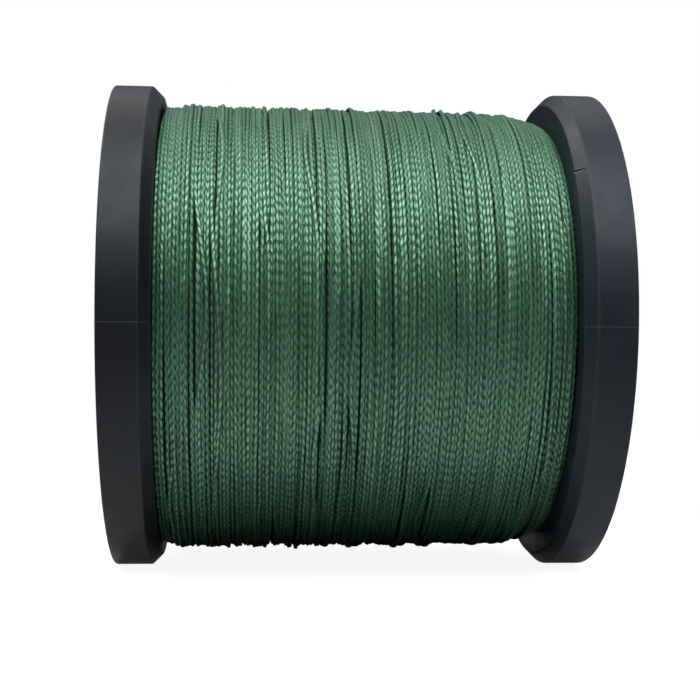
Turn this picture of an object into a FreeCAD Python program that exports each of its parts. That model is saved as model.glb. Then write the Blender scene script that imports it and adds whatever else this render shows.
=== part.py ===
import FreeCAD, Part
import math
import os

# Spool of braided fishing line, lying on the rims of its two flanges.
# The axis runs along X and the origin is the middle of the spindle bore.
# Lengths are in millimetres. Angles are in degrees about +X, from +Y at 0 through +Z at 90,
# so 180 faces the front. A radius is measured from the axis, and "out" is away from mid-width.

# Overall sizes
flange_diameter = 100.0
overall_width = 98.0
flange_thickness = 9.6

# Rim and recessed outer side of a flange
inner_chamfer = 2.1
rim_edge_round = 0.3
rim_wall = 3.0
web_thickness = 2.8
mould_draft = 0.3
corner_round = 0.5
lip_chamfer = 0.5
rib_count = 8
rib_thickness = 2.4
rib_taper = 0.6
rib_setback = 1.0

# Hub, its two half sleeves that meet at mid-width, and the drive holes
bore_diameter = 16.0
bore_lead_in = 0.6
hub_wall = 4.5
sleeve_wall = 2.6
nose_length = 5.0
nose_wall = 1.2
nose_clearance = 0.1
nose_end_gap = 0.3
drive_hole_count = 4
drive_hole_diameter = 6.5
drive_hole_circle = 42.0

# Barrel and the snap-in spigot of each flange
barrel_diameter = 63.0
barrel_wall = 2.5
spigot_clearance = 0.1
spigot_wall = 2.0
spigot_length = 9.0
gusset_count = 4
gusset_thickness = 2.0
gusset_reach = 18.0
snap_count = 4
snap_angle = 20.0
snap_slot_angle = 3.0
snap_height = 1.3
snap_lead = 4.0
snap_land = 3.0
window_clearance = 0.1
window_side_angle = 1.0

# Line nick in the right flange's inner chamfer: a shallow step that narrows outwards. Its steep wall
# starts at this angle at the chamfer's inner edge and gains the skew by its outer end.
nick_angle = 142.9
nick_skew_angle = 1.9
nick_width = 1.5
nick_depth = 0.3
nick_end_width = 0.3
nick_end_depth = 0.08
nick_chamfer_share = 0.9

# Tape that holds the line's first turn on the barrel
tape_width = 12.0
tape_thickness = 0.18
tape_sweep_angle = 50.0
tape_start_angle = 20.0
tape_from_flange = 1.5
tape_bond = 0.02

# Winding: surface radii at the two flanges and how the shoulders fall away
pack_radius_left = 46.3
pack_radius_right = 45.7
shoulder_left = 6.0
shoulder_right = 12.0
shoulder_fall_left = 1.2
shoulder_fall_right = 2.9
core_bore_clearance = 0.3
core_side_clearance = 0.2

# Outer layer: one length of line wound from flange to flange, its diameter measured across flats
loop_count = 24
line_diameter = 2.8
line_sides = 8
stations_per_loop = 4
line_seat_clearance = 0.2
line_side_clearance = 0.3
line_start_angle = 20.0
tail_bend = 3.0
tail_pocket_margin = 0.5

# How far a cutter runs past the faces that it opens
cut_past = 1.0

# Derived sizes
flange_radius = flange_diameter / 2
outer_face = overall_width / 2
inner_face = outer_face - flange_thickness
web_face = inner_face + web_thickness
bore_radius = bore_diameter / 2
hub_radius = bore_radius + hub_wall
sleeve_radius = bore_radius + sleeve_wall
barrel_radius = barrel_diameter / 2
barrel_bore = barrel_radius - barrel_wall
spigot_radius = barrel_bore - spigot_clearance
spigot_tip = inner_face - spigot_length
rim_bore = flange_radius - rim_wall
line_radius = line_diameter / 2
core_radius_in = barrel_radius + core_bore_clearance
station_angle = 360 / stations_per_loop
first_loop = -inner_face + line_side_clearance + line_radius
loop_pitch = -2 * first_loop / (loop_count - 1)

AXIS = FreeCAD.Vector(1, 0, 0)
ORIGIN = FreeCAD.Vector(0, 0, 0)


def place(x, radius, angle):
    """Point at distance radius from the axis, in the direction given by angle."""
    a = math.radians(angle)
    return FreeCAD.Vector(x, radius * math.cos(a), radius * math.sin(a))


def radial(angle):
    return place(0, 1, angle)


def tangential(angle):
    return place(0, 1, angle + 90)


def rounded_wire(corners, angle):
    """Closed outline through (x, radius, rounding) corners in the half plane at angle."""
    points = [place(x, radius, angle) for x, radius, rounding in corners]
    edges = []
    first = None
    last = None
    for i, (x, radius, rounding) in enumerate(corners):
        here = points[i]
        if rounding > 0:
            back = (points[i - 1] - here).normalize()
            ahead = (points[(i + 1) % len(points)] - here).normalize()
            half = back.getAngle(ahead) / 2
            tangent = rounding / math.tan(half)
            middle = (back + ahead).normalize()
            start = here + back * tangent
            end = here + ahead * tangent
            mid = here + middle * (rounding / math.sin(half) - rounding)
        else:
            start = here
            end = here
        if last is not None:
            edges.append(Part.LineSegment(last, start).toShape())
        else:
            first = start
        if rounding > 0:
            edges.append(Part.Arc(start, mid, end).toShape())
        last = end
    edges.append(Part.LineSegment(last, first).toShape())
    return Part.Wire(edges)


def turned(corners, side=1, start=0, sweep=360):
    """Solid turned about the axis from an outline; side -1 mirrors it to the left."""
    outline = rounded_wire([(side * x, radius, rounding) for x, radius, rounding in corners], start)
    return Part.Face(outline).revolve(ORIGIN, AXIS, sweep)


def flange_disc(side):
    """Rim, web and hub boss: a dish that is open to the outside."""
    corners = [
        (inner_face, bore_radius, 0),
        (inner_face, flange_radius - inner_chamfer, corner_round),
        (inner_face + inner_chamfer, flange_radius, corner_round),
        (outer_face, flange_radius, rim_edge_round),
        (outer_face, rim_bore + lip_chamfer, 0),
        (outer_face - lip_chamfer, rim_bore, 0),
        (web_face, rim_bore - mould_draft, 0),
        (web_face, hub_radius + mould_draft, 0),
        (outer_face - lip_chamfer, hub_radius, 0),
        (outer_face, hub_radius - lip_chamfer, 0),
        (outer_face, bore_radius + bore_lead_in, 0),
        (outer_face - bore_lead_in, bore_radius, 0),
    ]
    return turned(corners, side)


def flange_ribs(side):
    """Tapered radial ribs that stiffen the dish between hub and rim."""
    base = rib_thickness / 2
    top = base - rib_taper / 2
    buried = web_thickness / 2
    inner_end = (bore_radius + hub_radius) / 2
    outer_end = rim_bore + rim_wall / 2
    ribs = []
    for i in range(rib_count):
        angle = (i + 0.5) * 360 / rib_count
        across = tangential(angle)
        root = place(side * (web_face - buried), inner_end, angle)
        crest = place(side * (outer_face - rib_setback), inner_end, angle)
        corners = [root - across * base, crest - across * top, crest + across * top, root + across * base]
        section = Part.Face(Part.makePolygon(corners + corners[:1]))
        ribs.append(section.extrude(radial(angle) * (outer_end - inner_end)))
    return ribs


def hub_sleeve(side):
    """Half of the sleeve round the spindle: the left one ends in a nose, the right one takes it."""
    nose_radius = bore_radius + nose_wall
    overlap = inner_face + web_thickness / 2
    if side < 0:
        corners = [
            (-nose_length, bore_radius, 0),
            (-nose_length, nose_radius, 0),
            (0, nose_radius, 0),
            (0, sleeve_radius, 0),
            (overlap, sleeve_radius, 0),
            (overlap, bore_radius, 0),
        ]
    else:
        socket_radius = nose_radius + nose_clearance
        socket_depth = nose_length + nose_end_gap
        corners = [
            (socket_depth, bore_radius, 0),
            (socket_depth, socket_radius, 0),
            (0, socket_radius, 0),
            (0, sleeve_radius, 0),
            (overlap, sleeve_radius, 0),
            (overlap, bore_radius, 0),
        ]
    return turned(corners, side)


def spigot(side):
    """Slotted ring that enters the barrel, with the fingers that snap into its windows."""
    overlap = inner_face + web_thickness / 2
    inside = spigot_radius - spigot_wall
    rooted = spigot_radius - spigot_wall / 2
    ring = turned([
        (spigot_tip, inside, 0),
        (spigot_tip, spigot_radius, 0),
        (overlap, spigot_radius, 0),
        (overlap, inside, 0),
    ], side)
    slots = []
    snaps = []
    for i in range(snap_count):
        centre = i * 360 / snap_count
        for edge in (-1, 1):
            start = centre + edge * (snap_angle + snap_slot_angle) / 2 - snap_slot_angle / 2
            slots.append(turned([
                (spigot_tip - cut_past, inside - cut_past, 0),
                (spigot_tip - cut_past, spigot_radius + cut_past, 0),
                (inner_face, spigot_radius + cut_past, 0),
                (inner_face, inside - cut_past, 0),
            ], side, start, snap_slot_angle))
        bite = inner_face - snap_land
        snaps.append(turned([
            (bite - snap_lead, rooted, 0),
            (bite - snap_lead, spigot_radius, 0),
            (bite, spigot_radius + snap_height, 0),
            (bite, rooted, 0),
        ], side, centre - snap_angle / 2, snap_angle))
    return ring.cut(slots), snaps


def gussets(side):
    """Triangular webs that tie the sleeve to the spigot behind the flange."""
    inner_end = (bore_radius + sleeve_radius) / 2
    outer_end = spigot_radius - spigot_wall / 2
    buried = web_thickness / 2
    plates = []
    for i in range(gusset_count):
        angle = (i + 0.5) * 360 / gusset_count
        shift = tangential(angle) * (gusset_thickness / 2)
        corners = [
            place(side * (inner_face + buried), inner_end, angle) - shift,
            place(side * (inner_face - gusset_reach), inner_end, angle) - shift,
            place(side * (inner_face - gusset_reach), sleeve_radius, angle) - shift,
            place(side * (spigot_tip + spigot_length / 2), outer_end, angle) - shift,
            place(side * (inner_face + buried), outer_end, angle) - shift,
        ]
        plate = Part.Face(Part.makePolygon(corners + corners[:1]))
        plates.append(plate.extrude(shift * 2))
    return plates


def drive_holes(side):
    """Cutters for the holes that a winding machine's drive pins enter."""
    holes = []
    for i in range(drive_hole_count):
        angle = i * 360 / drive_hole_count
        mouth = place(side * (inner_face - cut_past), drive_hole_circle / 2, angle)
        depth = web_thickness + 2 * cut_past
        holes.append(Part.makeCylinder(drive_hole_diameter / 2, depth, mouth, AXIS * side))
    return holes


def nick_section(share, angle, width, depth):
    """Outline across the nick at a share of the chamfer's width: steep wall, sloping floor, open top."""
    on_chamfer = share * inner_chamfer
    lip = place(inner_face + on_chamfer, flange_radius - inner_chamfer + on_chamfer, angle)
    out = (radial(angle) - AXIS).normalize() * cut_past
    foot = lip - out * (depth / cut_past)
    far = lip + tangential(angle) * width
    corners = [lip + out, foot, far, far + out]
    return Part.makePolygon(corners + corners[:1])


def line_nick():
    """Cutter for the shallow step across the right flange's inner chamfer."""
    before = -cut_past / inner_chamfer
    mouth = nick_section(before, nick_angle, nick_width, nick_depth)
    end = nick_section(nick_chamfer_share, nick_angle + nick_skew_angle, nick_end_width, nick_end_depth)
    return Part.makeLoft([mouth, end], True, True)


def flange(side):
    """One flange moulding with its hub sleeve, spigot, snaps and ribs."""
    ring, snaps = spigot(side)
    body = flange_disc(side).fuse([hub_sleeve(side), ring] + snaps + gussets(side) + flange_ribs(side))
    body = body.cut(drive_holes(side))
    if side > 0:
        body = body.cut(line_nick())
    return body.removeSplitter()


def barrel():
    """Tube between the flanges, with a window at each end for every snap."""
    tube = turned([
        (-inner_face, barrel_bore, 0),
        (-inner_face, barrel_radius, 0),
        (inner_face, barrel_radius, 0),
        (inner_face, barrel_bore, 0),
    ])
    windows = []
    sweep = snap_angle + 2 * window_side_angle
    near = inner_face - snap_land + window_clearance
    far = inner_face - snap_land - snap_lead - window_clearance
    for side in (-1, 1):
        for i in range(snap_count):
            windows.append(turned([
                (far, barrel_bore - cut_past, 0),
                (far, barrel_radius + cut_past, 0),
                (near, barrel_radius + cut_past, 0),
                (near, barrel_bore - cut_past, 0),
            ], side, i * 360 / snap_count - sweep / 2, sweep))
    return tube.cut(windows)


def start_tape():
    """Curved strip of tape stuck to the barrel beside the left flange."""
    inside = barrel_radius + tape_bond
    left = -inner_face + tape_from_flange
    return turned([
        (left, inside, 0),
        (left, inside + tape_thickness, 0),
        (left + tape_width, inside + tape_thickness, 0),
        (left + tape_width, inside, 0),
    ], 1, tape_start_angle, tape_sweep_angle)


def shoulder_shares(x):
    """How far x is into each shoulder: 0 where it begins and 1 at the flange."""
    return max(0.0, 1 - (x + inner_face) / shoulder_left), max(0.0, 1 - (inner_face - x) / shoulder_right)


def pack_radius(x):
    """Radius of the finished winding's surface: a slight taper with a rounded shoulder at each end."""
    along = (x + inner_face) / (2 * inner_face)
    radius = pack_radius_left + (pack_radius_right - pack_radius_left) * along
    near_left, near_right = shoulder_shares(x)
    return radius - shoulder_fall_left * near_left ** 2 - shoulder_fall_right * near_right ** 2


def core_radius(x):
    """Radius of the inner layers: clear of the outer layer's tube along the winding's slope."""
    near_left, near_right = shoulder_shares(x)
    slope = (pack_radius_right - pack_radius_left) / (2 * inner_face)
    slope += 2 * shoulder_fall_left * near_left / shoulder_left
    slope -= 2 * shoulder_fall_right * near_right / shoulder_right
    return pack_radius(x) - line_radius - (line_radius + line_seat_clearance) * math.hypot(1, slope)


def loop_point(loop, station):
    """Centre of the line at a station of a loop, and its direction there."""
    x = first_loop + loop_pitch * loop
    angle = line_start_angle + station_angle * station
    return place(x, pack_radius(x) - line_radius, angle), tangential(angle)


def arc_from(start, heading, tangent, end):
    """Arc that leaves start along heading and ends at end, given its tangent length."""
    corner = start + heading * tangent
    chord_mid = (start + end) * 0.5
    cosine = (chord_mid - start).Length / tangent
    crest = chord_mid + (corner - chord_mid) * (cosine / (1 + cosine))
    return Part.Arc(start, crest, end).toShape()


def biarc(start, heading_in, end, heading_out):
    """Two arcs that join tangentially between two points with given headings."""
    chord = end - start
    total = heading_in + heading_out
    spread = 2 * (1 - heading_in.dot(heading_out))
    reach = chord.dot(total)
    tangent = (math.sqrt(reach ** 2 + spread * chord.dot(chord)) - reach) / spread
    middle = (start + end + (heading_in - heading_out) * tangent) * 0.5
    joint_heading = (end - heading_out * tangent) - (start + heading_in * tangent)
    first = arc_from(start, heading_in, tangent, middle)
    second = arc_from(middle, joint_heading.normalize(), tangent, end)
    return [first, second]


def tail(point, heading, angle, outgoing):
    """Bend from the loop straight down towards the axis, and a straight run of one line diameter."""
    down = radial(angle) * -1
    along = heading if outgoing else heading * -1
    corner = point + along * tail_bend
    landing = corner + down * tail_bend
    foot = landing + down * line_diameter
    if outgoing:
        return [arc_from(point, along, tail_bend, landing), Part.LineSegment(landing, foot).toShape()], foot
    bend = arc_from(landing, down * -1, tail_bend, point)
    return [Part.LineSegment(foot, landing).toShape(), bend], foot


def line_section(middle, angle):
    """Outline of the line's end: a regular polygon with flats towards the flanges."""
    corner_radius = line_radius / math.cos(math.pi / line_sides)
    corners = []
    for i in range(line_sides):
        turn = math.pi * (2 * i + 1) / line_sides
        corners.append(middle + (AXIS * math.cos(turn) + tangential(angle) * math.sin(turn)) * corner_radius)
    return Part.makePolygon(corners + corners[:1])


def outer_layer():
    """The layer that shows: one unbroken tube that steps over to the next loop after its last station."""
    stations = [loop_point(loop, station) for loop in range(loop_count) for station in range(stations_per_loop)]
    end_angle = line_start_angle + station_angle * (stations_per_loop - 1)
    start_tail, start_foot = tail(*stations[0], line_start_angle, False)
    end_tail, end_foot = tail(*stations[-1], end_angle, True)
    edges = list(start_tail)
    for (start, heading_in), (end, heading_out) in zip(stations, stations[1:]):
        edges += biarc(start, heading_in, end, heading_out)
    edges += end_tail
    path = Part.Wire(edges)
    section = line_section(start_foot, line_start_angle)
    tube = path.makePipeShell([section], True, False)
    ideal = path.Length * Part.Face(section).Area
    print("outer layer volume over path times section:", round(tube.Volume / ideal, 5))
    print("outer layer least gap to itself:", round(least_gap(path), 3), "mm")
    return tube, [(start_foot, line_start_angle, 1), (end_foot, end_angle, -1)]


def least_gap(path):
    """Least clear distance between stretches of the tube over half a loop apart, on points."""
    points = path.discretize(Distance=line_diameter)
    half_turn = int(math.pi * pack_radius_right / line_diameter)
    nearest = min(
        points[i].distanceToPoint(points[j])
        for i in range(len(points))
        for j in range(i + half_turn, min(len(points), i + 3 * half_turn))
    )
    return nearest - line_diameter


def line_core(tails):
    """Inner layers of line as one plain body, with a pocket for each end of the outer layer."""
    left = -inner_face + core_side_clearance
    right = inner_face - core_side_clearance
    left_crown = -inner_face + shoulder_left
    right_crown = inner_face - shoulder_right
    crown = [left, (left + left_crown) / 2, left_crown]
    crown += [right_crown, (2 * right_crown + right) / 3, (right_crown + 2 * right) / 3, right]
    corners = [(x, core_radius(x), 0) for x in crown]
    body = turned(corners + [(right, core_radius_in, 0), (left, core_radius_in, 0)])
    return body.cut([tail_pocket(*foot) for foot in tails])


def tail_pocket(foot, angle, way):
    """Cutter for the well in which an end of the line goes down, open along the bend."""
    half = line_radius + tail_pocket_margin
    across = tangential(angle) * way
    depth = tail_bend + 2 * line_diameter
    base = foot - across * half - AXIS * half
    floor = [base, base + AXIS * 2 * half]
    floor += [floor[1] + across * (tail_bend + 2 * half), floor[0] + across * (tail_bend + 2 * half)]
    return Part.Face(Part.makePolygon(floor + floor[:1])).extrude(radial(angle) * depth)


def write(nodes):
    os.makedirs("parts", exist_ok=True)
    for name, shape in nodes.items():
        print(name, "solids", len(shape.Solids), "valid", shape.isValid(), "volume", round(shape.Volume, 1))
        shape.exportStep("parts/" + name + ".step")


layer, layer_tails = outer_layer()
write({
    "left_flange": flange(-1),
    "right_flange": flange(1),
    "barrel": barrel(),
    "start_tape": start_tape(),
    "line_core": line_core(layer_tails),
    "line_outer_layer": layer,
})
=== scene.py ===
import math

import bpy
import numpy as np
from mathutils import Matrix, Vector


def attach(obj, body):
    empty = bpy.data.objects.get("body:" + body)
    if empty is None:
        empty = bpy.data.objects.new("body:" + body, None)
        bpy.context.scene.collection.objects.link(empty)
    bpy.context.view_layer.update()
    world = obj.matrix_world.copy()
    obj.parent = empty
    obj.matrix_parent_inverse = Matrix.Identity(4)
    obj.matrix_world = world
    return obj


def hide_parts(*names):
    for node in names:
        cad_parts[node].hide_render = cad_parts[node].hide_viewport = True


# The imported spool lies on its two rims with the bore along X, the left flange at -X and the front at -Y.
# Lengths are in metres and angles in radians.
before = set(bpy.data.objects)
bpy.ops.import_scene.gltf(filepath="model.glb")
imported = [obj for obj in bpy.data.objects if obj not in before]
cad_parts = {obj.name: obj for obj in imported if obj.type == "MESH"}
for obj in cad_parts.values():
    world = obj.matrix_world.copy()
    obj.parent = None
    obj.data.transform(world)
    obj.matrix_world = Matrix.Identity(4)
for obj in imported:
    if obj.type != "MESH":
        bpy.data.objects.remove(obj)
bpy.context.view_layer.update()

# The photograph's view: from the front, a little left of mid-width and low over the table, turned slightly
# to the right. The lens was fitted to the outlines of both rims in the square picture.
picture_side = 700
focal_pixels = 1375.55
middle_row = 425.3
film_width = 36.0
camera_place = (-0.022075, -0.295435, -0.016015)
camera_yaw = 0.0750
camera_pitch = -0.0152
camera_roll = 0.00629
nearest_drawn, farthest_drawn = 0.01, 20


def photograph_camera():
    """Camera whose axes are worked out from yaw to the right, pitch upwards and roll."""
    yaw_sin, yaw_cos = math.sin(camera_yaw), math.cos(camera_yaw)
    pitch_sin, pitch_cos = math.sin(camera_pitch), math.cos(camera_pitch)
    ahead = Vector((yaw_sin * pitch_cos, yaw_cos * pitch_cos, pitch_sin))
    level = Vector((yaw_cos, -yaw_sin, 0))
    upright = level.cross(ahead)
    right = level * math.cos(camera_roll) + upright * math.sin(camera_roll)
    up = right.cross(ahead)
    data = bpy.data.cameras.new("photograph_camera")
    data.sensor_width = film_width
    data.lens = focal_pixels / picture_side * film_width
    data.shift_y = middle_row / picture_side - 0.5
    data.clip_start = nearest_drawn
    data.clip_end = farthest_drawn
    camera = bpy.data.objects.new("photograph_camera", data)
    turn = Matrix((right, up, -ahead)).transposed().to_4x4()
    camera.matrix_world = Matrix.Translation(camera_place) @ turn
    bpy.context.scene.collection.objects.link(camera)
    bpy.context.scene.camera = camera


photograph_camera()

# The two flanges: discs of black plastic moulded in a split tool, so that a fine parting seam crosses each
# rim at mid-height. The tool's fine grain makes them satin, and their edges are rubbed a little lighter.
flange_radius = 0.050
rim_outer_face = 0.049
rim_inner_edge = 0.0415
flange_inner_face = 0.0394
chamfer_foot_radius = 0.0479
seam_angle = math.radians(2.0)
seam_half_width = 0.00009
seam_height = 0.000035
seam_step = 0.00003
seam_lightness = 0.55
seam_starts_below, seam_full_below = 0.0008, 0.0002
grain_scale = 5200
grain_height = 0.000010
mottle_share = 0.025
rub_reach, rub_full = 0.00065, 0.0001
rub_raggedness = 0.00025
scuff_scale = 110
scuff_amount = 0.62
scuff_depth = 0.000008
scuff_lightness = 0.7
scuff_half_width = 0.012
plastic_index = 1.45
plastic_black = (0.0068, 0.0084, 0.0104, 1)
# A bluer black for the right flange, as a painted reflection of cool light from the right; the plastic is the
# same as the left flange's.
plastic_black_painted_cool_light = (0.0125, 0.0205, 0.0290, 1)
plastic_rubbed = (0.045, 0.047, 0.050, 1)
plastic_shine = (0.88, 0.94, 1.0, 1)


def join(tree, node, values):
    """Sets a shader node's inputs: a socket is linked, and anything else is set as the value."""
    for key, value in values.items():
        socket = node.inputs[key]
        if isinstance(value, bpy.types.NodeSocket):
            tree.links.new(value, socket)
        else:
            socket.default_value = value


def add(tree, kind, inputs=None, **settings):
    """A shader node of this kind with its settings and inputs, which are named or counted."""
    node = tree.nodes.new("ShaderNode" + kind)
    for key, value in settings.items():
        setattr(node, key, value)
    join(tree, node, inputs or {})
    return node


def maths(tree, operation, *values, clamp=False):
    """The result of one sum on sockets or numbers."""
    node = add(tree, "Math", dict(enumerate(values)), operation=operation, use_clamp=clamp)
    return node.outputs[0]


def between(tree, value, low, high, out_low=0.0, out_high=1.0):
    """Smooth step of a value from low to high."""
    sizes = {"Value": value, "From Min": low, "From Max": high, "To Min": out_low, "To Max": out_high}
    return add(tree, "MapRange", sizes, interpolation_type="SMOOTHSTEP").outputs["Result"]


def blend_colours(tree, share, one, other):
    """Colour between one and the other by a share."""
    node = add(tree, "Mix", {"Factor": share, "A": one, "B": other}, data_type="RGBA")
    return node.outputs["Result"]


def blend_values(tree, share, one, other):
    """Number between one and the other by a share."""
    return add(tree, "MapRange", {"Value": share, "To Min": one, "To Max": other}).outputs["Result"]


def new_group(name, inputs, outputs):
    """Shader node group with named number inputs (name: value) and named outputs (name: kind)."""
    group = bpy.data.node_groups.new(name, "ShaderNodeTree")
    for key, value in inputs.items():
        socket = group.interface.new_socket(key, in_out="INPUT", socket_type="NodeSocketFloat")
        socket.default_value = value
    for key, kind in outputs.items():
        group.interface.new_socket(key, in_out="OUTPUT", socket_type="NodeSocket" + kind)
    return group, group.nodes.new("NodeGroupInput").outputs, group.nodes.new("NodeGroupOutput")


def mould_grain():
    """Fine pebble of the tool's surface with slow mottling, from noise on Object coordinates."""
    group, given, out = new_group(
        "mould_grain", {"Scale": grain_scale}, {"Height": "Float", "Mottle": "Float"})
    place = add(group, "TexCoord").outputs["Object"]
    fine = add(group, "TexNoise", {"Vector": place, "Scale": given["Scale"], "Detail": 2.0, "Roughness": 0.6})
    slow_scale = maths(group, "MULTIPLY", given["Scale"], mottle_share)
    slow = add(group, "TexNoise", {"Vector": place, "Scale": slow_scale, "Detail": 4.0, "Roughness": 0.6})
    mottle = between(group, slow.outputs["Fac"], 0.35, 0.65)
    join(group, out, {"Height": fine.outputs["Fac"], "Mottle": mottle})
    return group


def turned_places():
    """Where a point lies on the spool: distance from mid-width, radius, and height off the seams' plane,
    which is z cos(a) - y sin(a) for a plane through the axis that is turned by a."""
    group, _, out = new_group(
        "turned_places", {}, {"Across": "Float", "Radius": "Float", "Off Seam": "Float"})
    place = add(group, "TexCoord").outputs["Object"]
    x, y, z = add(group, "SeparateXYZ", {0: place}).outputs
    square = maths(group, "ADD", maths(group, "MULTIPLY", y, y), maths(group, "MULTIPLY", z, z))
    off = maths(group, "SUBTRACT", maths(group, "MULTIPLY", z, math.cos(seam_angle)),
                maths(group, "MULTIPLY", y, math.sin(seam_angle)))
    join(group, out, {
        "Across": maths(group, "ABSOLUTE", x),
        "Radius": maths(group, "SQRT", square),
        "Off Seam": off,
    })
    return group


def scuffs():
    """Sparse hairline scratches: the borders of two sets of long cells, kept only in patches."""
    group, given, out = new_group("scuffs", {"Scale": scuff_scale, "Amount": scuff_amount}, {"Line": "Float"})
    place = add(group, "TexCoord").outputs["Object"]
    lines = []
    for turn, stretch in ((0.5, (1, 1, 5)), (-0.7, (1, 4, 1))):
        turns = (turn, turn / 2, -turn)
        mapping = add(group, "Mapping", {"Vector": place, "Rotation": turns, "Scale": stretch})
        cells = add(group, "TexVoronoi", {"Vector": mapping.outputs[0], "Scale": given["Scale"]},
                    feature="DISTANCE_TO_EDGE")
        lines.append(between(group, cells.outputs["Distance"], scuff_half_width, 0.0))
    patch_scale = maths(group, "MULTIPLY", given["Scale"], 1.3)
    patch = add(group, "TexNoise", {"Vector": place, "Scale": patch_scale, "Detail": 3.0})
    kept = between(group, patch.outputs["Fac"], maths(group, "SUBTRACT", 1.05, given["Amount"]), 1.0)
    join(group, out, {"Line": maths(group, "MULTIPLY", maths(group, "MAXIMUM", *lines), kept, clamp=True)})
    return group


grain_group = mould_grain()
places_group = turned_places()
scuff_group = scuffs()


def plastic_material(name, black, wear):
    """Satin moulded plastic of this black, with grain, mottled gloss, scuffs and the seams. Edges are rubbed
    where the least distance to one of the three turned edges is small, as strongly as wear says."""
    material = bpy.data.materials.new(name)
    material.use_nodes = True
    tree = material.node_tree
    shader = tree.nodes["Principled BSDF"]
    grain = add(tree, "Group", node_tree=grain_group).outputs
    spot = add(tree, "Group", node_tree=places_group).outputs
    scratched = {"Scale": scuff_scale, "Amount": scuff_amount}
    scratch = add(tree, "Group", scratched, node_tree=scuff_group).outputs["Line"]
    edges = ((rim_outer_face, flange_radius), (rim_inner_edge, flange_radius),
             (flange_inner_face, chamfer_foot_radius))
    nearest = 1.0
    for across, radius in edges:
        dx = maths(tree, "SUBTRACT", spot["Across"], across)
        dr = maths(tree, "SUBTRACT", spot["Radius"], radius)
        square = maths(tree, "ADD", maths(tree, "MULTIPLY", dx, dx), maths(tree, "MULTIPLY", dr, dr))
        nearest = maths(tree, "MINIMUM", maths(tree, "SQRT", square), nearest)
    ragged = maths(tree, "MULTIPLY_ADD", grain["Mottle"], rub_raggedness, nearest)
    rubbed = maths(tree, "MULTIPLY", between(tree, ragged, rub_reach, rub_full), wear)
    off_seam = maths(tree, "ABSOLUTE", spot["Off Seam"])
    seam = between(tree, off_seam, seam_half_width * 1.6, seam_half_width * 0.4)
    step = between(tree, spot["Off Seam"], -seam_half_width * 2, seam_half_width * 2)
    on_rim = between(
        tree, spot["Radius"], chamfer_foot_radius - seam_starts_below, chamfer_foot_radius - seam_full_below)
    seam_seen = maths(tree, "MULTIPLY", maths(tree, "MULTIPLY", seam, on_rim), seam_lightness)
    light = maths(tree, "MAXIMUM", rubbed, seam_seen)
    light = maths(tree, "MAXIMUM", light, maths(tree, "MULTIPLY", scratch, scuff_lightness))
    gloss = blend_values(tree, grain["Mottle"], 0.40, 0.50)
    gloss = maths(tree, "ADD", gloss, maths(tree, "MULTIPLY", light, 0.1))
    height = maths(tree, "MULTIPLY", grain["Height"], grain_height)
    height = maths(tree, "ADD", height, maths(tree, "MULTIPLY", seam, seam_height))
    height = maths(tree, "ADD", height, maths(tree, "MULTIPLY", step, seam_step))
    height = maths(tree, "SUBTRACT", height, maths(tree, "MULTIPLY", scratch, scuff_depth))
    bump = add(tree, "Bump", {"Strength": 1.0, "Distance": 1.0, "Height": height})
    join(tree, shader, {
        "Base Color": blend_colours(tree, light, black, plastic_rubbed),
        "Roughness": gloss,
        "IOR": plastic_index,
        "Specular Tint": plastic_shine,
        "Normal": bump.outputs[0],
    })
    return material


def wear_material(node_name, material):
    """Gives a CAD node's every material slot this material."""
    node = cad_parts[node_name]
    for slot in node.material_slots:
        slot.material = material


wear_material("left_flange", plastic_material("left_flange_plastic", plastic_black, 0.35))
# The right flange's bluer black is a painted reflection of cool light, not a different plastic.
wear_material("right_flange", plastic_material("right_flange_plastic", plastic_black_painted_cool_light, 0.40))

# The barrel: a smooth extruded-looking tube of the same plastic, hidden under the line, with windows for the
# flanges' snaps. Nothing rubs it, so it has no worn edges.
wear_material("barrel", plastic_material("barrel_plastic", plastic_black, 0.0))

# The starting tape: a strip of creped paper tape, pale buff, stuck over the line's first turn on the barrel.
# Its crepe is fine ridges across the strip's length.
crepe_scale = 900
crepe_height = 0.00003
crepe_stretch = (0.2, 1, 1)
tape_buff = (0.62, 0.55, 0.38, 1)
tape_shadow = (0.42, 0.35, 0.22, 1)


def tape_material():
    """Creped paper: ridges that run along X from stretched noise, with painted shade in the hollows between
    them.
    """
    material = bpy.data.materials.new("creped_tape")
    material.use_nodes = True
    tree = material.node_tree
    place = add(tree, "TexCoord").outputs["Object"]
    stretched = add(tree, "Mapping", {"Vector": place, "Scale": crepe_stretch}).outputs[0]
    crepe = add(tree, "TexNoise", {"Vector": stretched, "Scale": crepe_scale, "Detail": 3.0}).outputs["Fac"]
    ridges = between(tree, crepe, 0.35, 0.65)
    bump = add(tree, "Bump", {"Distance": 1.0, "Height": maths(tree, "MULTIPLY", ridges, crepe_height)})
    join(tree, tree.nodes["Principled BSDF"], {
        "Base Color": blend_colours(tree, ridges, tape_shadow, tape_buff),
        "Roughness": blend_values(tree, crepe, 0.75, 0.9),
        "Normal": bump.outputs[0],
    })
    return material


wear_material("start_tape", tape_material())

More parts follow.
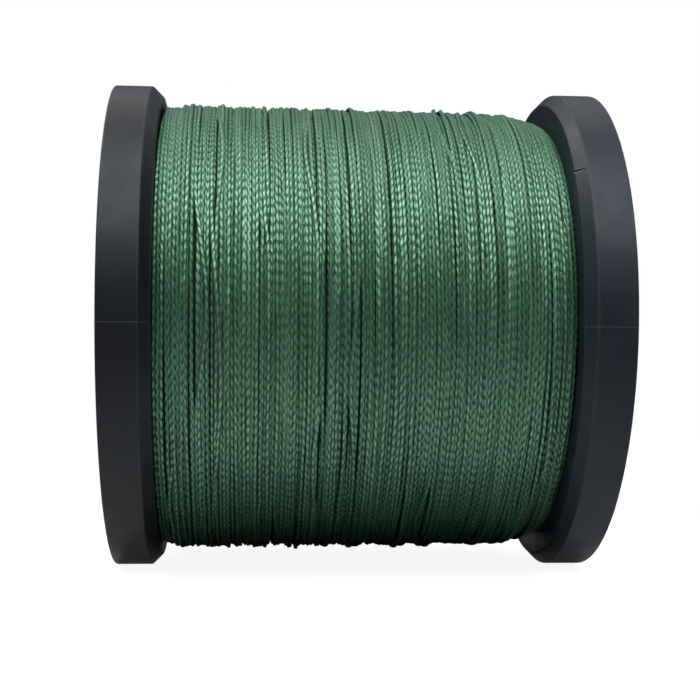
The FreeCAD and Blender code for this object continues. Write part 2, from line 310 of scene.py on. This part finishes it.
# The line that shows: one length of moss green braid, wound tight by machine from the left flange to the
# right one in turns side by side. The turns squeeze up, gape and ride on each other, and each end goes down
# between its neighbours into the layer below. The mesh is cut into eight pieces, end to end.
turn_count = 106
line_half_width = 0.00031
line_half_height = 0.00028
braid_repeat = 0.00193
rings_per_repeat = 6
section_points = 8
strand_relief = 0.00016
strand_half = 1.05
strand_dip = 0.85
strand_slant = 0.075
outer_pieces = 8
bake_rows = 36
bake_row_fill = 0.9
bake_row_length = 0.998
bake_cap_corner = 0.0005
pack_half_width = 0.0394
pack_radius_left = 0.0463
pack_radius_right = 0.0457
shoulder_left, shoulder_right = 0.006, 0.012
shoulder_fall_left, shoulder_fall_right = 0.0012, 0.0029
line_start = math.radians(20)
tuck_turns = 0.03
tuck_depth = 0.0012
flange_room = 0.0001
least_spacing = 0.00069
settle_rounds = 40
settle_share = 0.25
settle_flattening = 0.985
swell_waves = 14
swell_size = 0.00006
swell_lengths = (0.003, 0.010)
swell_whole_turns = 4
ride_count = 34
ride_reach = (0.05, 0.12)
ride_aside = (0.0006, 0.0022)
ride_lift = 0.00038
swell_seed, ride_seed, ride_spot_seed = 24, 15, 18

# How the line wanders: each run's spacing in turns, its size and its seed.
aside_slow, aside_quick = (0.33, 0.00022, 11), (0.09, 0.00012, 12)
lift_slow, lift_quick = (0.29, 0.00028, 13), (0.11, 0.00008, 14)
aside_shiver, lift_shiver = (0.0115, 0.00003, 19), (0.0125, 0.00003, 20)
repeat_drift = (0.11, 0.45, 25)
twist_drift = (0.31, 0.50, 16)
tone_drift = (1.3, 0.20, 17)


def pack_surface(x):
    """Radius of the winding's surface: a slight taper with a rounded shoulder at each flange."""
    along = (x + pack_half_width) / (2 * pack_half_width)
    near_left = np.clip(1 - (x + pack_half_width) / shoulder_left, 0, 1)
    near_right = np.clip(1 - (pack_half_width - x) / shoulder_right, 0, 1)
    radius = pack_radius_left + (pack_radius_right - pack_radius_left) * along
    return radius - shoulder_fall_left * near_left ** 2 - shoulder_fall_right * near_right ** 2


def wander(along, spacing, size, seed):
    """Smooth random run: normal numbers at even spacing along the line, joined by cubics through them."""
    rng = np.random.default_rng(seed)
    place = along / spacing
    first = np.floor(place).astype(int)
    knots = rng.normal(0, size, first.max() + 4)
    f = place - first
    a, b, c, d = (knots[first + k] for k in range(4))
    return b + 0.5 * f * (c - a + f * (2 * a - 5 * b + 4 * c - d + f * (3 * (b - c) + d - a)))


def settle(x, height, turns):
    """Pushes turns apart where they overlap the next one or the one after that, along the line between them.
    After every round each place takes half of itself and a quarter of each neighbour along the line."""
    grid_x = x[:turns * per_turn].reshape(turns, per_turn)
    grid_h = height[:turns * per_turn].reshape(turns, per_turn)
    limit = pack_half_width - line_half_width
    for _ in range(settle_rounds):
        for step in (1, 2):
            dx = grid_x[step:] - grid_x[:-step]
            dh = grid_h[step:] - grid_h[:-step]
            gap = np.hypot(dx, dh)
            push = settle_share * np.clip(least_spacing - gap, 0, None) / np.maximum(gap, 1e-6)
            grid_x[:-step] -= push * dx
            grid_x[step:] += push * dx
            grid_h[:-step] -= push * dh
            grid_h[step:] += push * dh
        np.clip(grid_x, -limit, limit, out=grid_x)
        x[1:-1] = 0.25 * x[:-2] + 0.5 * x[1:-1] + 0.25 * x[2:]
        height[1:-1] = settle_flattening * (0.25 * height[:-2] + 0.5 * height[1:-1] + 0.25 * height[2:])


def smooth_rise(value):
    """Smooth step from 0 to 1: t t (3 - 2 t) of the clipped value."""
    value = np.clip(value, 0, 1)
    return value * value * (3 - 2 * value)


def swells(x, angle, seed):
    """Uneven ground that the older layers leave: sum of cosines of (k x + n angle + phase), with random
    wavelengths across and n whole, so that it closes on itself round the spool."""
    rng = np.random.default_rng(seed)
    total = np.zeros_like(x)
    for _ in range(swell_waves):
        k = 2 * np.pi / rng.uniform(*swell_lengths)
        n = rng.integers(-swell_whole_turns, swell_whole_turns + 1)
        total += np.cos(k * x + n * angle + rng.uniform(0, 2 * np.pi))
    return swell_size * total


def rides_over(along, spots, seed):
    """Sideways shift and lift of the few stretches that slant over their neighbours: smooth steps up to each
    spot and down from it, the lift twice as steep and flat on top."""
    rng = np.random.default_rng(seed)
    shift = np.zeros_like(along)
    lift = np.zeros_like(along)
    for spot in spots:
        reach = rng.uniform(*ride_reach)
        aside = rng.choice((-1, 1)) * rng.uniform(*ride_aside)
        hump = smooth_rise(1 - np.abs(along - spot) / reach)
        shift += aside * hump
        lift += ride_lift * smooth_rise(2 * hump)
    return shift, lift


def tube_points(x, radius, angle, twist, half_width, half_height, relief, points):
    """Points of a tube round the axis: an oval section at each place of the path, turned by the twist, whose
    radius has the strands' relief. X and the radial direction span the section, because the path runs nearly
    along the circle."""
    ring = np.arange(points) * 2 * np.pi / points
    around = ring[None, :] + np.pi + twist[:, None]
    swell = 1 + relief / half_height
    dx = half_width * swell * np.sin(around)
    dr = half_height * swell * np.cos(around)
    r = radius[:, None] + dr
    place = np.stack([x[:, None] + dx, r * np.cos(angle)[:, None], r * np.sin(angle)[:, None]], axis=-1)
    return place.reshape(-1, 3)


def braid_relief(repeats, points):
    """Height of the four strands of a round braid, 0 to 1. Two wind one way, at v = 2 u + 2 n, and two the
    other way, at v = 2 n - 2 u, with u in repeats along the line and v in quarters round it. A strand's
    section is 1 - (d / w)^2, with d the distance round the line. It dips where it goes under the others:
    cos(pi v) is 1 where the first two are over and -1 where the other two are. So four columns of grains
    lie round the line, and their slants go by turns."""
    v = (np.arange(points) * 4 / points)[None, :]
    height = np.zeros((len(repeats), points))
    for way in (1, -1):
        away = np.abs((v - way * 2 * repeats[:, None] + 1) % 2 - 1)
        ridge = np.clip(1 - (away / strand_half) ** 2, 0, 1)
        height = np.maximum(height, ridge * (1 - strand_dip * (0.5 - 0.5 * way * np.cos(np.pi * v))))
    return height


def tube_faces(rings, points):
    """Corners of a closed tube's faces, and how many corners each face has: quads from ring to ring, then a
    fan of triangles to a middle point at either end."""
    ring = np.arange(rings - 1)[:, None] * points
    side = np.arange(points)[None, :]
    after = (side + 1) % points
    quads = np.stack([ring + side, ring + after, ring + points + after, ring + points + side], axis=-1)
    fan = np.arange(points)
    fan_after = (fan + 1) % points
    last = (rings - 1) * points
    first_cap = np.stack([np.full(points, rings * points), fan_after, fan], axis=-1)
    last_cap = np.stack([np.full(points, rings * points + 1), last + fan, last + fan_after], axis=-1)
    corners = np.concatenate([quads.ravel(), first_cap.ravel(), last_cap.ravel()])
    counts = np.concatenate([np.full((rings - 1) * points, 4), np.full(2 * points, 3)])
    return corners, counts


def tube_maps(rings, points, repeats, rows):
    """Two maps of a tube's face corners. One follows the braid, in repeats along and quarters around. The
    other lays the tube out in rows, one above the other, to keep its colours in a picture."""
    step = np.array([0, 0, 1, 1])[None, None, :]
    over = np.array([0, 1, 1, 0])[None, None, :]
    index = np.arange(rings - 1)[:, None, None]
    column = np.arange(points)[None, :, None]
    caps = np.zeros((6 * points, 2), np.float32)
    along = repeats[index + step] + 0 * column
    around = (column + over) * (4 / points) + 0 * index
    follow = np.concatenate([np.stack([along, around], axis=-1).reshape(-1, 2), caps])
    per_row = math.ceil((rings - 1) / rows)
    in_row = (index % per_row + step) / per_row * bake_row_length + 0.5 * (1 - bake_row_length) + 0 * column
    up_row = (index // per_row + 0.5 * (1 - bake_row_fill) + bake_row_fill * (column + over) / points) / rows
    laid = np.concatenate([np.stack([in_row, up_row], axis=-1).reshape(-1, 2), caps + bake_cap_corner])
    return {"braid": follow, "OFBake": laid}


def outward_share(place, rings, points):
    """How far outwards each point of a tube faces, -1 to 1: the cosine of the angle, at its ring's middle,
    between the way to the point and the way out from the axis."""
    rise = np.hypot(place[:, 1], place[:, 2]).reshape(rings, points)
    aside = place[:, 0].reshape(rings, points)
    rise = rise - rise.mean(axis=1, keepdims=True)
    aside = aside - aside.mean(axis=1, keepdims=True)
    return (rise / np.hypot(rise, aside)).ravel()


def tube_mesh(name, place, rings, points, repeats, tone, rows):
    """Closed tube mesh with two maps, and two values at each point: its tone and how far out it faces."""
    corners, counts = tube_faces(rings, points)
    starts = np.concatenate([[0], np.cumsum(counts)[:-1]])
    ends = place.reshape(rings, points, 3)[[0, -1]].mean(axis=1)
    mesh = bpy.data.meshes.new(name)
    mesh.vertices.add(rings * points + 2)
    mesh.vertices.foreach_set("co", np.concatenate([place, ends]).astype(np.float32).ravel())
    mesh.loops.add(len(corners))
    mesh.loops.foreach_set("vertex_index", corners.astype(np.int32))
    mesh.polygons.add(len(counts))
    mesh.polygons.foreach_set("loop_start", starts.astype(np.int32))
    mesh.update(calc_edges=True)
    mesh.polygons.foreach_set("use_smooth", np.ones(len(counts), bool))
    for map_name, values in tube_maps(rings, points, repeats, rows).items():
        layer = mesh.uv_layers.new(name=map_name)
        layer.uv.foreach_set("vector", values.astype(np.float32).ravel())
    at_points = {
        "outward": np.concatenate([outward_share(place, rings, points), [0, 0]]),
        "tone": np.concatenate([np.repeat(tone, points), tone[[0, -1]]]),
    }
    for key, values in at_points.items():
        attribute = mesh.attributes.new(key, "FLOAT", "POINT")
        attribute.data.foreach_set("value", values.astype(np.float32))
    mesh.validate()
    piece = bpy.data.objects.new(name, mesh)
    bpy.context.scene.collection.objects.link(piece)
    return piece


# The braid's look. The scales of its noises are in repeats along the line and quarters round it.
uneven_scale, strand_scale, fibre_scale, fade_scale = 0.5, 1.1, 2.0, 1.0
uneven_along, uneven_round = 0.25, 0.3
fibres_per_strand = 2.2
crest_low, crest_high = 0.20, 0.75
ridge_low, ridge_high = 0.45, 0.95
braid_light = (0.026, 0.110, 0.054, 1)
# Painted shade in the hollows between the strands: the braid's colour there.
braid_hollow_shade = (0.004, 0.040, 0.018, 1)
braid_yellowed = (0.058, 0.124, 0.052, 1)
braid_faded = (0.088, 0.140, 0.088, 1)
braid_shine = (0.54, 1.0, 0.70, 1)
fibre_contrast = 0.50
faded_share, yellowed_share = 0.6, 0.6
tone_share = 0.30
strand_darkest, strand_lightest = 0.80, 1.20
# The line's colour is darkened on its sides and lightened on its top by how far each point faces outwards:
# painted shade and painted light.
painted_side_shade, painted_top_light = 0.40, 1.25
side_ends, top_starts = 0.35, 0.95
hollow_gloss, ridge_gloss = 0.28, 0.92
edge_gloss = 0.5
hollow_roughness, crest_roughness = 0.65, 0.44
braid_index = 3.15
fibre_direction = 0.6
fibre_bump, braid_bump, strand_bump = 0.00003, 0.00014, 0.00003


def braid_look(tree):
    """How the braid shades a surface: its strands' height by the formula of braid_relief, a flatter crest
    with (d / w)^4, the ridge that shines, the fine fibres along each strand, which way the upper strand
    slants, and what differs from strand to strand and along the line. Noise moves u and v a little, so that
    the strands aren't regular."""
    u, v, _ = add(tree, "SeparateXYZ", {0: add(tree, "UVMap", uv_map="braid").outputs[0]}).outputs
    loose = add(tree, "CombineXYZ", {0: u, 1: maths(tree, "MULTIPLY", v, 0.5)}).outputs[0]
    uneven = add(tree, "TexNoise", {"Vector": loose, "Scale": uneven_scale, "Detail": 1.0}).outputs["Color"]
    along_more, round_more, _ = add(tree, "SeparateXYZ", {0: uneven}).outputs
    u_here = maths(tree, "MULTIPLY_ADD", maths(tree, "SUBTRACT", along_more, 0.5), uneven_along, u)
    v_here = maths(tree, "MULTIPLY_ADD", maths(tree, "SUBTRACT", round_more, 0.5), uneven_round, v)
    over = maths(tree, "COSINE", maths(tree, "MULTIPLY", v_here, math.pi))
    across, heights, covers = [], [], []
    for way in (1, -1):
        shifted = maths(tree, "MULTIPLY_ADD", u_here, -2.0 * way, v_here)
        away = maths(tree, "DIVIDE", maths(tree, "PINGPONG", shifted, 1.0), strand_half)
        under = maths(tree, "MULTIPLY", strand_dip / 2, maths(tree, "MULTIPLY_ADD", over, -way, 1.0))
        kept = maths(tree, "SUBTRACT", 1.0, under)
        for power, found in ((2.0, heights), (4.0, covers)):
            section = maths(tree, "SUBTRACT", 1.0, maths(tree, "POWER", away, power), clamp=True)
            found.append(maths(tree, "MULTIPLY", section, kept))
        across.append(shifted)
    height = maths(tree, "MAXIMUM", *heights)
    cover = maths(tree, "MAXIMUM", *covers)
    first_up = maths(tree, "GREATER_THAN", *heights)
    on_top = blend_values(tree, first_up, across[1], across[0])
    fibre_place = add(tree, "CombineXYZ", {
        0: maths(tree, "MULTIPLY", u, 0.5),
        1: maths(tree, "MULTIPLY", on_top, fibres_per_strand),
        2: first_up,
    }).outputs[0]
    strand_place = add(tree, "CombineXYZ", {0: u, 1: v}).outputs[0]
    fade_place = add(tree, "CombineXYZ", {
        0: maths(tree, "MULTIPLY", u, 0.1),
        1: maths(tree, "MULTIPLY", v, 0.2),
    }).outputs[0]
    fibre, strand, fade = (
        add(tree, "TexNoise", {"Vector": place, "Scale": scale, "Detail": detail}).outputs["Fac"]
        for place, scale, detail in (
            (fibre_place, fibre_scale, 1.0),
            (strand_place, strand_scale, 1.0),
            (fade_place, fade_scale, 2.0),
        ))
    return {
        "Height": height,
        "Crest": between(tree, cover, crest_low, crest_high),
        "Ridge": between(tree, height, ridge_low, ridge_high),
        "Fibre": between(tree, fibre, 0.36, 0.64),
        "Slant": maths(tree, "MULTIPLY_ADD", first_up, 2.0, -1.0),
        "Strand": between(tree, strand, 0.3, 0.7),
        "Faded": between(tree, fade, 0.46, 0.68),
    }


def braid_material():
    """Green braid, with painted shade between the strands and on the line's sides and painted light on its
    top, with lighter fibres, faded and yellowed stretches, and a gloss on the ridges that runs along the
    strands and weakens where they turn away."""
    material = bpy.data.materials.new("braided_line")
    material.use_nodes = True
    tree = material.node_tree
    braid = braid_look(tree)
    tone = add(tree, "Attribute", attribute_name="tone").outputs["Fac"]
    outward = add(tree, "Attribute", attribute_name="outward").outputs["Fac"]
    facing = add(tree, "LayerWeight", {"Blend": 0.5}).outputs["Facing"]
    fibrous = maths(tree, "MULTIPLY_ADD", braid["Fibre"], fibre_contrast, 1 - fibre_contrast)
    crest = maths(tree, "MULTIPLY", braid["Crest"], fibrous)
    ridge = maths(tree, "MULTIPLY", braid["Ridge"], fibrous)
    gloss = blend_values(tree, ridge, hollow_gloss, ridge_gloss)
    gloss = maths(tree, "MULTIPLY", gloss, between(tree, facing, 0.2, 0.8, 1.0, edge_gloss))
    faded = maths(tree, "MULTIPLY", braid["Faded"], faded_share)
    yellowed = maths(tree, "MULTIPLY", between(tree, tone, 1.0, 1.6), yellowed_share)
    # The dark colour where the crest mask is low is painted shade in the hollows between strands.
    colour = blend_colours(tree, crest, braid_hollow_shade, blend_colours(tree, faded, braid_light, braid_faded))
    colour = blend_colours(tree, yellowed, colour, braid_yellowed)
    level = maths(tree, "MULTIPLY_ADD", tone, tone_share, 1 - tone_share)
    strand_level = blend_values(tree, braid["Strand"], strand_darkest, strand_lightest)
    # Painted shade on the line's sides and painted light on its top, from how far each point faces outwards.
    painted_round_light = between(tree, outward, side_ends, top_starts, painted_side_shade, painted_top_light)
    level = maths(tree, "MULTIPLY", maths(tree, "MULTIPLY", level, strand_level), painted_round_light)
    height = maths(tree, "MULTIPLY", braid["Height"], braid_bump)
    height = maths(tree, "MULTIPLY_ADD", braid["Fibre"], fibre_bump, height)
    height = maths(tree, "MULTIPLY_ADD", braid["Strand"], strand_bump, height)
    join(tree, tree.nodes["Principled BSDF"], {
        "Base Color": add(tree, "VectorMath", {0: colour, "Scale": level}, operation="SCALE").outputs[0],
        "Roughness": blend_values(tree, braid["Crest"], hollow_roughness, crest_roughness),
        "IOR": braid_index,
        "Specular IOR Level": gloss,
        "Specular Tint": braid_shine,
        "Anisotropic": fibre_direction,
        "Anisotropic Rotation": maths(tree, "MULTIPLY_ADD", braid["Slant"], strand_slant, 0.25),
        "Tangent": add(tree, "Tangent", direction_type="UV_MAP", uv_map="braid").outputs[0],
        "Normal": add(tree, "Bump", {"Strength": 1.0, "Distance": 1.0, "Height": height}).outputs[0],
    })
    return material


repeats_per_turn = round(2 * math.pi * pack_radius_left / braid_repeat)
per_turn = repeats_per_turn * rings_per_repeat
ring_count = turn_count * per_turn + 1
turns_along = np.arange(ring_count) / per_turn
edge_room = pack_half_width - line_half_width - flange_room
line_x = -edge_room + 2 * edge_room * np.clip((turns_along - 0.5) / (turn_count - 1), 0, 1)
line_x = line_x + wander(turns_along, *aside_slow) + wander(turns_along, *aside_quick)
line_rise = wander(turns_along, *lift_slow) + wander(turns_along, *lift_quick)
settle(line_x, line_rise, turn_count)
line_x += wander(turns_along, *aside_shiver)
line_rise += wander(turns_along, *lift_shiver)
ride_spots = np.random.default_rng(ride_spot_seed).uniform(2, turn_count - 2, ride_count)
ride_shift, ride_rise = rides_over(turns_along, ride_spots, ride_seed)
line_x = np.clip(line_x + ride_shift, -edge_room, edge_room)
from_end = np.minimum(turns_along, turn_count - turns_along)
line_sink = tuck_depth * (1 - smooth_rise(from_end / tuck_turns))
line_angle = line_start + 2 * math.pi * turns_along
line_rise = line_rise + ride_rise + swells(line_x, line_angle, swell_seed)
line_radius = pack_surface(line_x) - line_half_height + line_rise - line_sink
line_repeats = np.arange(ring_count) / rings_per_repeat + wander(turns_along, *repeat_drift)
line_twist = wander(turns_along, *twist_drift) + math.pi / 4
line_tone = 1 + wander(turns_along, *tone_drift)

line_material = braid_material()
outer_points = tube_points(
    line_x, line_radius, line_angle, line_twist, line_half_width, line_half_height,
    strand_relief * braid_relief(line_repeats, section_points), section_points,
).reshape(ring_count, section_points, 3)
cuts = np.round(np.linspace(0, ring_count - 1, outer_pieces + 1)).astype(int)
for number, (begin, end) in enumerate(zip(cuts, cuts[1:]), 1):
    part = slice(begin, end + 1)
    piece = tube_mesh(
        f"line_turns_{number}", outer_points[part].reshape(-1, 3), end + 1 - begin, section_points,
        line_repeats[part], line_tone[part], bake_rows)
    piece.data.materials.append(line_material)
    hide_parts("line_outer_layer")
    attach(piece, "root")

# The layers below: the same braid, wound the other way across, which shows as darker turns where the outer
# ones gape, on a bed of all the older layers, pressed into shallow ridges.
under_turns = 104
under_rings = 120
under_points = 6
under_size = 1.25
under_drop = 0.00034
under_flange_room = 0.0002
under_start = math.radians(200)
under_aside, under_lift, under_tone = (0.4, 0.00015, 21), (0.35, 0.00010, 22), (1.5, 0.3, 23)
bed_drop = 0.0013
bed_ridges = 104
bed_ridge_height = 0.00015
bed_steps_across = 416
bed_steps_round = 120
bed_inner_radius = 0.0318
bed_side_room = 0.0002
# The bed's colours are much darker than the braid's: painted shade deep under the outer turns.
bed_shaded_dark = (0.006, 0.022, 0.013, 1)
bed_shaded_light = (0.022, 0.065, 0.040, 1)
bed_streak_scale = 1400.0

under_count = under_turns * under_rings + 1
under_along = np.arange(under_count) / under_rings
under_room = pack_half_width - line_half_width - under_flange_room
under_x = under_room - 2 * under_room * under_along / under_turns + wander(under_along, *under_aside)
under_radius = pack_surface(under_x) - line_half_height - under_drop + wander(under_along, *under_lift)
under_repeats = under_along * repeats_per_turn
under_place = tube_points(
    np.clip(under_x, -under_room, under_room), under_radius, under_start + 2 * math.pi * under_along,
    np.zeros(under_count), line_half_width * under_size, line_half_height * under_size,
    np.zeros((under_count, under_points)), under_points)
under_layer = tube_mesh(
    "line_under_layer", under_place, under_count, under_points, under_repeats,
    1 + wander(under_along, *under_tone), bake_rows)
under_layer.data.materials.append(line_material)


def bed_mesh():
    """Closed ring turned about the axis: its outside follows the winding's surface with one ridge per turn,
    a cosine along X, and its sides and bore are plain."""
    half = pack_half_width - bed_side_room
    across = np.linspace(-half, half, bed_steps_across)
    ridge = bed_ridge_height * np.cos(2 * np.pi * bed_ridges * (across + half) / (2 * half))
    outside = pack_surface(across) - bed_drop + ridge
    profile_x = np.concatenate([across, [half, -half]])
    profile_r = np.concatenate([outside, [bed_inner_radius, bed_inner_radius]])
    turn = 2 * np.pi * np.arange(bed_steps_round) / bed_steps_round
    x = np.repeat(profile_x[:, None], bed_steps_round, axis=1)
    y = profile_r[:, None] * np.cos(turn)[None, :]
    z = profile_r[:, None] * np.sin(turn)[None, :]
    index = np.arange(len(profile_x) * bed_steps_round).reshape(len(profile_x), bed_steps_round)
    down = np.roll(index, -1, axis=0)
    quads = np.stack([index, np.roll(index, -1, axis=1), np.roll(down, -1, axis=1), down], axis=-1)
    places = np.stack([x, y, z], axis=-1).reshape(-1, 3)
    mesh = bpy.data.meshes.new("line_bed")
    mesh.from_pydata(places.tolist(), [], quads.reshape(-1, 4).tolist())
    mesh.shade_smooth()
    piece = bpy.data.objects.new("line_bed", mesh)
    bpy.context.scene.collection.objects.link(piece)
    return piece


def bed_material():
    """Pressed line, coloured much darker than the braid as painted shade deep under the outer turns, and
    rougher where it is darker, from fine noise on Object coordinates.
    """
    material = bpy.data.materials.new("pressed_line")
    material.use_nodes = True
    tree = material.node_tree
    place = add(tree, "TexCoord").outputs["Object"]
    noise = {"Vector": place, "Scale": bed_streak_scale, "Detail": 2.0}
    streaks = add(tree, "TexNoise", noise).outputs["Fac"]
    join(tree, tree.nodes["Principled BSDF"], {
        "Base Color": blend_colours(tree, streaks, bed_shaded_dark, bed_shaded_light),
        "Roughness": blend_values(tree, streaks, 0.9, 0.7),
    })
    return material


line_bed = bed_mesh()
line_bed.data.materials.append(bed_material())
for piece in (under_layer, line_bed):
    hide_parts("line_core")
    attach(piece, "root")

# The table: a sheet of paper that the rims rest on, white to the camera. It keeps the soft shadow of the
# spool, deepened by a painted shadow right under it, and further out it looks wholly white to the camera.
table_half = 3.0
table_height = -flange_radius
sheet_colour = (0.70, 0.70, 0.70, 1)
sheet_painted_shadow = (0.20, 0.20, 0.20, 1)
sheet_far = (0.12, 0.12, 0.12, 1)
white_starts, white_ends = 0.10, 0.45
near_white = 0.90
far_starts, far_ends = 0.07, 0.19
beside_rims = (0.034, 0.042)
beside_spool = (0.020, 0.055)
mirrored_white = 0.12
sheet_roughness = 0.9


def table_sheet():
    """Flat square sheet at the height of the rims' lowest points. To the camera it is nearly white by itself,
    and wholly so far out. Right under the spool its colour is darker, a painted shadow, and shiny things
    mirror it only beside it. Further out its colour turns a dark grey, so that it sends less light back to
    the spool."""
    corners = [
        (x * table_half, y * table_half, table_height) for x, y in ((-1, -1), (1, -1), (1, 1), (-1, 1))]
    mesh = bpy.data.meshes.new("table_sheet")
    mesh.from_pydata(corners, [], [(0, 1, 2, 3)])
    sheet = bpy.data.objects.new("table_sheet", mesh)
    bpy.context.scene.collection.objects.link(sheet)
    material = bpy.data.materials.new("white_sheet")
    material.use_nodes = True
    tree = material.node_tree
    path = add(tree, "LightPath").outputs
    place = add(tree, "TexCoord").outputs["Object"]
    away = add(tree, "VectorMath", {0: place}, operation="LENGTH").outputs["Value"]
    far = between(tree, away, white_starts, white_ends)
    open_sheet = blend_colours(tree, between(tree, away, far_starts, far_ends), sheet_colour, sheet_far)
    x, y, _ = add(tree, "SeparateXYZ", {0: place}).outputs
    clear_x = between(tree, maths(tree, "ABSOLUTE", x), *beside_rims)
    clear_y = between(tree, maths(tree, "ABSOLUTE", y), *beside_spool)
    beside = maths(tree, "MAXIMUM", clear_x, clear_y)
    white = maths(tree, "MULTIPLY_ADD", far, 1 - near_white, near_white)
    seen = maths(tree, "MULTIPLY", path["Is Camera Ray"], white)
    in_mirrors = maths(tree, "MAXIMUM", path["Is Glossy Ray"], path["Is Transmission Ray"])
    mirrored = maths(tree, "MULTIPLY", in_mirrors, maths(tree, "MULTIPLY", beside, mirrored_white))
    join(tree, tree.nodes["Principled BSDF"], {
        # Under the spool the base colour is the painted shadow; outside it, the open sheet's colour.
        "Base Color": blend_colours(tree, beside, sheet_painted_shadow, open_sheet),
        "Roughness": sheet_roughness,
        "Specular IOR Level": 0.0,
        "Emission Color": (1, 1, 1, 1),
        "Emission Strength": maths(tree, "MAXIMUM", seen, mirrored),
    })
    mesh.materials.append(material)
    return sheet


table_sheet()

# The studio: a broad soft box above and in front, a small one behind to the left, a cool one behind to the
# right, and a dim cool room, whose far side is a white backdrop.
room_light = 0.020
room_colour = (0.80, 0.92, 1.0, 1)
wall_starts, wall_ends = 0.1, 0.4
wall_foot, wall_top = 0.45, 0.80
wall_foot_light = 0.05


def soft_box(name, place, width, depth, radiance, colour):
    """Rectangular lamp at a place, turned to face the spool's middle, of this brightness to look at."""
    data = bpy.data.lights.new(name, "AREA")
    data.shape = "RECTANGLE"
    data.size = width
    data.size_y = depth
    data.energy = radiance * math.pi * width * depth
    data.color = colour
    lamp = bpy.data.objects.new(name, data)
    lamp.location = place
    lamp.rotation_euler = (-Vector(place)).to_track_quat("-Z", "Y").to_euler()
    bpy.context.scene.collection.objects.link(lamp)


soft_box("top_box", (-0.05, -0.275, 0.475), 0.90, 0.48, 3.15, (0.98, 0.99, 1.0))
soft_box("back_box", (-0.40, 0.24, 0.55), 0.26, 0.30, 3.3, (1.0, 0.98, 0.97))
soft_box("side_box", (0.50, 0.38, 0.06), 0.40, 0.40, 3.5, (0.90, 0.95, 1.0))

world = bpy.data.worlds.new("studio")
bpy.context.scene.world = world
world.use_nodes = True
sky = world.node_tree
path = add(sky, "LightPath").outputs
heading = add(sky, "TexCoord").outputs["Generated"]
_, back, high = add(sky, "SeparateXYZ", {0: heading}).outputs
lit_height = between(sky, high, wall_foot, wall_top, wall_foot_light, 1.0)
lit_wall = maths(sky, "MULTIPLY", between(sky, back, wall_starts, wall_ends), lit_height)
backdrop = maths(sky, "MULTIPLY", path["Is Glossy Ray"], lit_wall)
seen_through = maths(sky, "MAXIMUM", path["Is Camera Ray"], path["Is Transmission Ray"])
white = maths(sky, "MAXIMUM", seen_through, backdrop)
join(sky, sky.nodes["Background"], {
    "Color": blend_colours(sky, white, room_colour, (1, 1, 1, 1)),
    "Strength": blend_values(sky, white, room_light, 1.0),
})

bpy.context.scene.view_settings.view_transform = "Standard"
